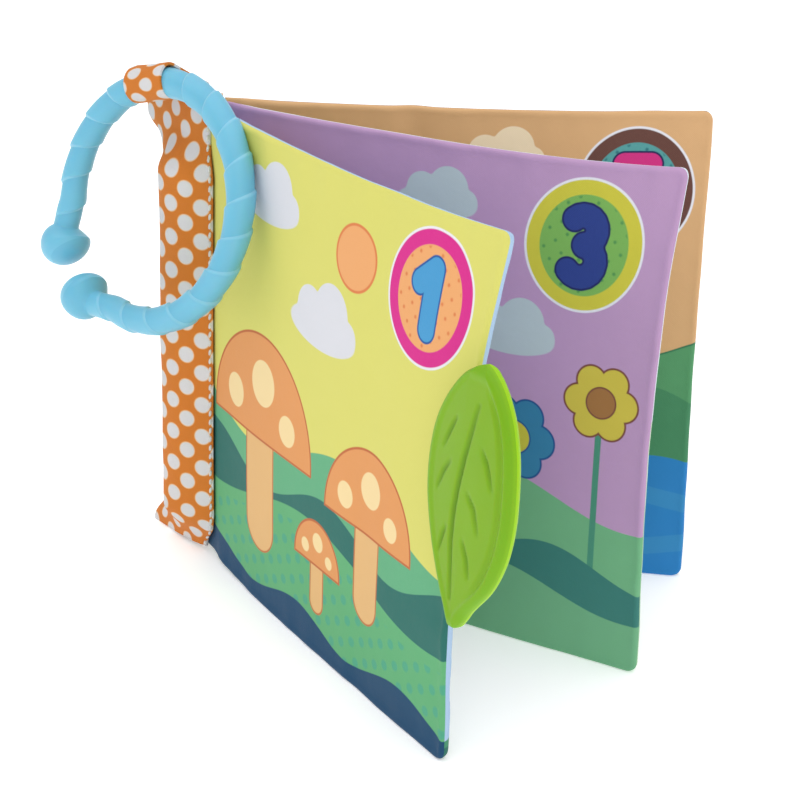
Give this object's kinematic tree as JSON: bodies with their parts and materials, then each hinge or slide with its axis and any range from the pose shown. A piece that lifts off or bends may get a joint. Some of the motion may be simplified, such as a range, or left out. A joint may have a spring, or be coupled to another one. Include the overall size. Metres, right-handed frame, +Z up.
{
  "type": "soft activity book",
  "caption": "Padded cloth baby book with a stuffed spine, turning leaves, an open clip ring on a strap loop and a leaf-shaped chewing tab.",
  "frame": {"origin": "on the surface that the book stands on, under the middle of its bounding box", "axes": "+Z up along the spine and the hinge lines; +X runs along the front leaf from its hinge line to its fore edge; -Y is the way the front cover faces"},
  "size_m": [0.2148, 0.1752, 0.1631],
  "materials": {
    "dotted_cotton": "matte woven cotton, orange with white dots",
    "seam_tape": "matte woven seam allowance",
    "wadding": "soft polyester fibre",
    "crinkle_film": "thin crinkling film",
    "yellow_page": "printed smooth polyester",
    "sky_page": "printed smooth polyester",
    "lilac_page": "printed smooth polyester",
    "mint_page": "printed smooth polyester",
    "peach_page": "printed smooth polyester",
    "navy_page": "printed smooth polyester",
    "ring_plastic": "smooth moulded plastic with a soft shine",
    "teether_rubber": "soft smooth silicone"
  },
  "bodies": {
    "binding": {"spine_cover": "dotted_cotton", "spine_stuffing": "wadding", "front_leaf_tab": "seam_tape", "middle_leaf_tab": "seam_tape", "back_leaf_tab": "seam_tape"},
    "front_leaf": {"front_leaf_front_panel": "yellow_page", "front_leaf_back_panel": "sky_page", "front_leaf_film": "crinkle_film", "front_leaf_wadding": "wadding"},
    "middle_leaf": {"middle_leaf_front_panel": "lilac_page", "middle_leaf_back_panel": "mint_page", "middle_leaf_film": "crinkle_film", "middle_leaf_wadding": "wadding"},
    "back_leaf": {"back_leaf_front_panel": "peach_page", "back_leaf_back_panel": "navy_page", "back_leaf_film": "crinkle_film", "back_leaf_wadding": "wadding"},
    "loop": {"hanging_loop": "dotted_cotton"},
    "ring": {"clip_ring": "ring_plastic"},
    "teether": {"leaf_teether": "teether_rubber"}
  },
  "joints": [
    {"name": "front_leaf_turn", "type": "hinge", "parent": "binding", "child": "front_leaf", "pos_m": [-0.07237, -0.04466, 0], "axis": [0, 0, -1], "range_deg": [0, 50]},
    {"name": "middle_leaf_turn", "type": "hinge", "parent": "binding", "child": "middle_leaf", "pos_m": [-0.07237, -0.04126, 0], "axis": [0, 0, 1], "range_deg": [-26, 28]},
    {"name": "back_leaf_turn", "type": "hinge", "parent": "middle_leaf", "child": "back_leaf", "pos_m": [-0.07255, -0.0375, 0], "axis": [0, 0, 1], "range_deg": [-23, 42]},
    {"name": "loop_turn", "type": "hinge", "parent": "binding", "child": "loop", "pos_m": [-0.08815, -0.04366, 0.1524], "axis": [0, 0, -1], "range_deg": [0, 40]},
    {"name": "ring_turn", "type": "hinge", "parent": "loop", "child": "ring", "pos_m": [-0.06747, -0.06486, 0.1225], "axis": [0.2476, -0.9242, 0.2907], "range_deg": [-72, 112]},
    {"name": "teether_flap", "type": "hinge", "parent": "front_leaf", "child": "teether", "pos_m": [0.07783, -0.04573, 0.0815], "axis": [0, 0.1072, 0.9942], "range_deg": [0, 35]}
  ],
  "couplings": [
    {"joint": "loop_turn", "follows": "front_leaf_turn", "ratio": 0.8}
  ]
}
